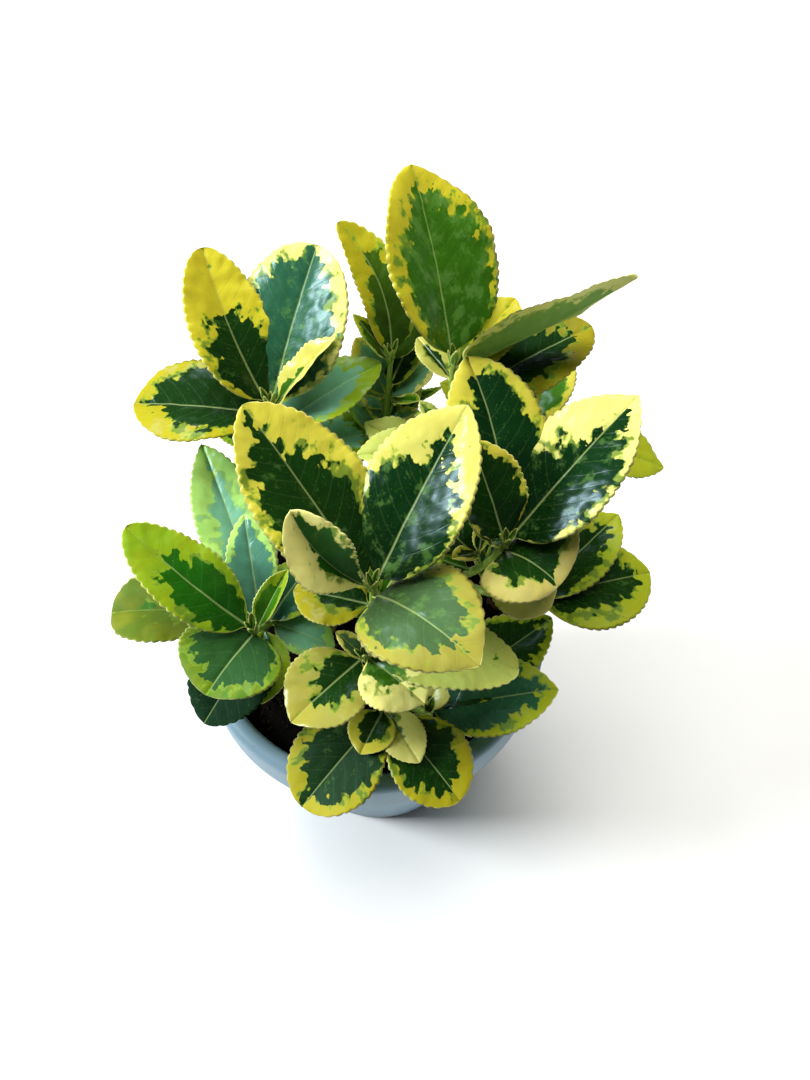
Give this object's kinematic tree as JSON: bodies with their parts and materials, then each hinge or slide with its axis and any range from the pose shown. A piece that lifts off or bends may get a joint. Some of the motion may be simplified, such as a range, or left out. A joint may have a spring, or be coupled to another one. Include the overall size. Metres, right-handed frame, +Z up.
{
  "type": "potted variegated euonymus plant",
  "caption": "Small leafy shrub with glossy yellow-edged green leaves in rosettes on upright stems, standing in a round pot with a rounded lip.",
  "frame": {"origin": "middle of the pot's flat underside", "axes": "+Z up, -Y towards the front of the plant, +X towards its right as seen from the front"},
  "size_m": [0.1802, 0.1542, 0.2522],
  "materials": {
    "pot": "satin blue-grey moulded pot",
    "soil": "dark crumbly potting soil",
    "stem": "greenish brown young bark",
    "bough": "smooth green young bark",
    "foliage": "glossy green leaves with yellow margins"
  },
  "bodies": {
    "root": {"pot": "pot", "soil": "soil", "stem_middle": "stem", "stem_right": "stem", "stem_left": "stem", "stem_back": "stem", "stem_front": "stem", "bough_centre": "bough", "bough_front": "bough", "bough_right": "bough", "bough_outer": "bough", "bough_tall": "bough", "bough_back": "bough", "bough_back_left": "bough", "bough_back_right": "bough", "bough_left": "bough", "bough_low_left": "bough", "bough_low_front": "bough", "bough_low_right": "bough", "foliage_centre": "foliage", "foliage_front": "foliage", "foliage_right": "foliage", "foliage_outer": "foliage", "foliage_tall": "foliage", "foliage_back": "foliage", "foliage_back_left": "foliage", "foliage_back_right": "foliage", "foliage_left": "foliage", "foliage_low_left": "foliage", "foliage_low_front": "foliage", "foliage_low_right": "foliage"}
  },
  "joints": []
}
